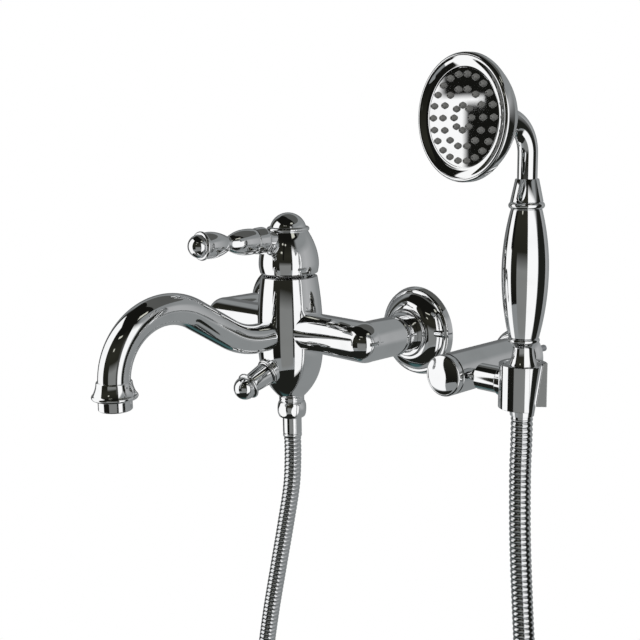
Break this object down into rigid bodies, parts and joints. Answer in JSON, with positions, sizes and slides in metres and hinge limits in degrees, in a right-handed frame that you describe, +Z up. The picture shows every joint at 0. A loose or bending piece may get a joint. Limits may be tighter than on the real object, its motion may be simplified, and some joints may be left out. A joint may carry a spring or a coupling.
{
  "type": "wall-mounted bath shower mixer",
  "caption": "Chrome wall-mounted bath mixer in a turned retro style, with lever hood, swan spout, pull diverter, metal hose, hand shower and wall holder.",
  "frame": {"origin": "on the wall plane, midway between the two water inlets", "axes": "+X along the wall to the right as seen from the room, +Y into the wall, +Z up; the front is -Y"},
  "size_m": [0.349, 0.2469, 0.7534],
  "materials": {
    "chrome": "polished chrome plating on brass",
    "hose": "ribbed chromed metal hose",
    "brass": "turned",
    "steel": "turned stainless steel",
    "rubber": "matt seal rubber",
    "silicone": "soft grey silicone",
    "ceramic": "polished ceramic",
    "plastic": "moulded"
  },
  "bodies": {
    "mixer_and_holder": {"mixer_body": "chrome", "inlet_union_left": "brass", "inlet_union_right": "brass", "rosette_left": "chrome", "rosette_right": "chrome", "union_washers": "rubber", "inlet_strainers": "steel", "cartridge_seal": "rubber", "cartridge_housing": "plastic", "ceramic_fixed_disc": "ceramic", "cartridge_nut": "brass", "spout": "chrome", "spout_seal": "rubber", "outlet_bell": "chrome", "aerator_housing": "chrome", "aerator_insert": "plastic", "aerator_washer": "rubber", "diverter_bush": "chrome", "diverter_spring": "steel", "outlet_nipple": "chrome", "check_valve": "plastic", "hose_washer": "rubber", "hose_nut": "chrome", "lower_ferrule": "chrome", "shower_hose": "hose", "holder_wall_boss": "brass", "holder_wall_screw": "steel", "holder_flange": "chrome", "holder_arm": "chrome", "holder_cap": "chrome", "holder_grub_screw": "steel", "friction_washer": "rubber"},
    "lever_swivel": {"cartridge_yoke": "plastic", "ceramic_moving_disc": "ceramic", "pivot_pin": "steel"},
    "lever_lift": {"cartridge_stem": "steel", "hood": "chrome", "hood_finial": "chrome", "lever": "chrome", "lever_ball": "chrome", "hood_grub_screw": "steel"},
    "diverter": {"diverter_stem": "steel", "diverter_valve": "rubber", "diverter_knob": "chrome", "diverter_ball": "chrome"},
    "clip": {"clip_stub": "chrome", "holder_clip": "chrome", "clip_screw": "steel"},
    "handset": {"cone_nut": "chrome", "upper_ferrule": "chrome", "handset_washer": "rubber", "handset_shank": "chrome", "handset_grip": "chrome", "handset_bead": "chrome", "handset_neck": "chrome", "head_shell": "chrome", "head_seal": "rubber", "head_bezel": "chrome", "spray_plate": "chrome", "nozzle_mat": "silicone"}
  },
  "joints": [
    {"name": "lever_swivel", "type": "hinge", "parent": "mixer_and_holder", "child": "lever_swivel", "pos_m": [0, -0.056, 0], "axis": [0, 0, 1], "range_deg": [-50, 50]},
    {"name": "lever_lift", "type": "hinge", "parent": "lever_swivel", "child": "lever_lift", "pos_m": [0, -0.056, 0.028], "axis": [-1, 0, 0], "range_deg": [0, 20]},
    {"name": "diverter_pull", "type": "slide", "parent": "mixer_and_holder", "child": "diverter", "axis": [0, -0.9397, -0.342], "range_m": [0, 0.008], "stiffness_N_per_m": 400, "springref_m": -0.002, "deforming": ["diverter_spring"]},
    {"name": "clip_tilt", "type": "hinge", "parent": "mixer_and_holder", "child": "clip", "pos_m": [0.163, -0.064, -0.004], "axis": [1, 0, 0], "range_deg": [-10, 35], "deforming": ["shower_hose"]},
    {"name": "handset_lift", "type": "slide", "parent": "clip", "child": "handset", "axis": [0, 0, 1], "range_m": [0, 0.05], "deforming": ["shower_hose"]}
  ]
}
